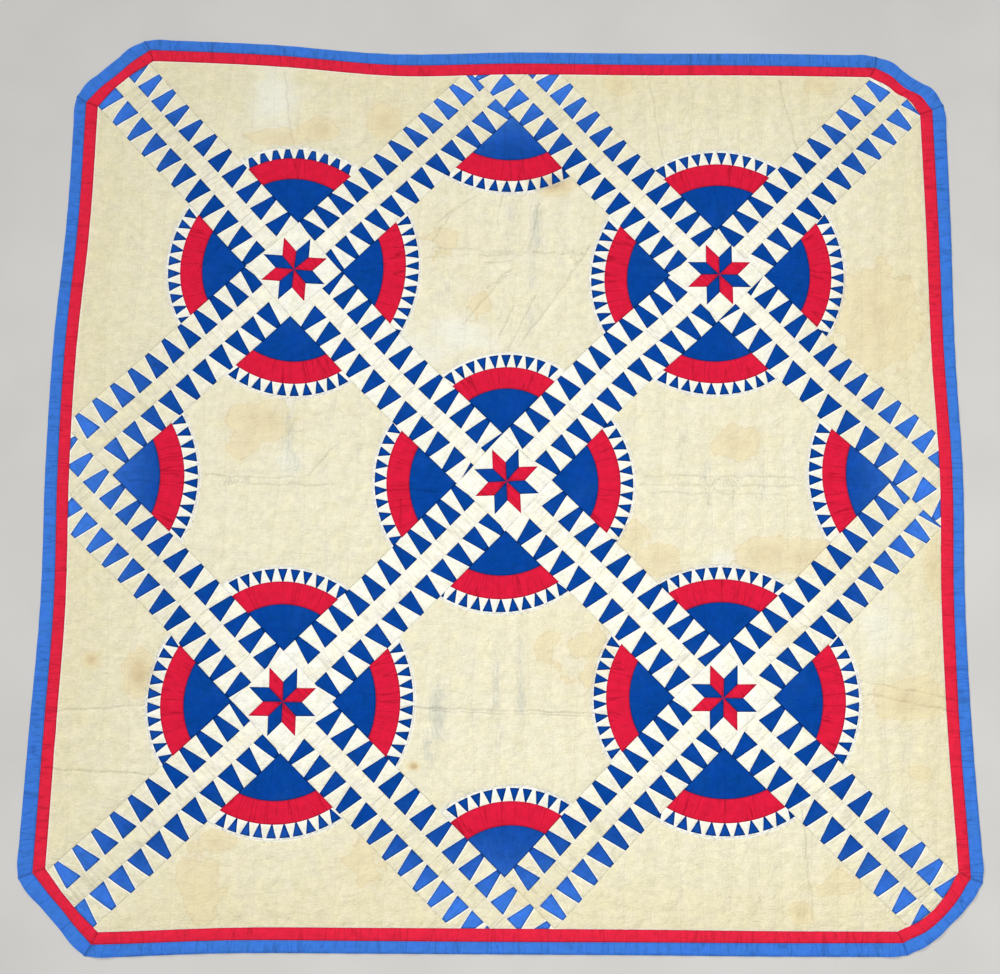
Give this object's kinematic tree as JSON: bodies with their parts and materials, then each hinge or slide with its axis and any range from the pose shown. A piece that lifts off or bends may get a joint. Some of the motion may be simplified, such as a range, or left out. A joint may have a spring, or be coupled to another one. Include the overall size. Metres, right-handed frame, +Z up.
{
  "type": "new york beauty patchwork quilt",
  "caption": "Square pieced cotton quilt with cut corners, lying flat: toothed sashes on the slant, star squares, fan corners and a red and a blue border.",
  "frame": {"origin": "middle of the quilt's outline, on the flat back that lies on the bed", "axes": "+X towards the quilt's right edge and +Y towards its top edge as it lies, +Z up out of its patched face"},
  "size_m": [2.0702, 2.066, 0.0055],
  "materials": {
    "muslin_ground": "washed, unbleached cotton muslin, quilted, with faint stains",
    "cream_sashing": "washed white cotton",
    "red_cotton": "washed crimson cotton, faded in places",
    "blue_cotton": "washed royal blue cotton, faded towards the edges"
  },
  "bodies": {
    "root": {"block_top": "muslin_ground", "block_right": "muslin_ground", "block_bottom": "muslin_ground", "block_left": "muslin_ground", "edge_block_top_right": "muslin_ground", "edge_block_top_left": "muslin_ground", "edge_block_left_upper": "muslin_ground", "edge_block_left_lower": "muslin_ground", "edge_block_bottom_left": "muslin_ground", "edge_block_bottom_right": "muslin_ground", "edge_block_right_lower": "muslin_ground", "edge_block_right_upper": "muslin_ground", "sash_lower_right_to_corner": "cream_sashing", "sash_middle_to_lower_right": "cream_sashing", "sash_middle_to_upper_left": "cream_sashing", "sash_upper_left_to_corner": "cream_sashing", "sash_lower_left_to_corner": "cream_sashing", "sash_middle_to_lower_left": "cream_sashing", "sash_middle_to_upper_right": "cream_sashing", "sash_upper_right_to_corner": "cream_sashing", "sash_upper_right_to_right": "cream_sashing", "sash_upper_right_to_top": "cream_sashing", "sash_lower_left_to_bottom": "cream_sashing", "sash_lower_left_to_left": "cream_sashing", "sash_upper_left_to_left": "cream_sashing", "sash_upper_left_to_top": "cream_sashing", "sash_lower_right_to_bottom": "cream_sashing", "sash_lower_right_to_right": "cream_sashing", "star_middle": "cream_sashing", "star_upper_left": "cream_sashing", "star_upper_right": "cream_sashing", "star_lower_left": "cream_sashing", "star_lower_right": "cream_sashing", "red_border_top": "red_cotton", "red_border_upper_right_corner": "red_cotton", "red_border_right": "red_cotton", "red_border_lower_right_corner": "red_cotton", "red_border_bottom": "red_cotton", "red_border_lower_left_corner": "red_cotton", "red_border_left": "red_cotton", "red_border_upper_left_corner": "red_cotton", "blue_border_top": "blue_cotton", "blue_border_upper_right_corner": "blue_cotton", "blue_border_right": "blue_cotton", "blue_border_lower_right_corner": "blue_cotton", "blue_border_bottom": "blue_cotton", "blue_border_lower_left_corner": "blue_cotton", "blue_border_left": "blue_cotton", "blue_border_upper_left_corner": "blue_cotton"}
  },
  "joints": []
}
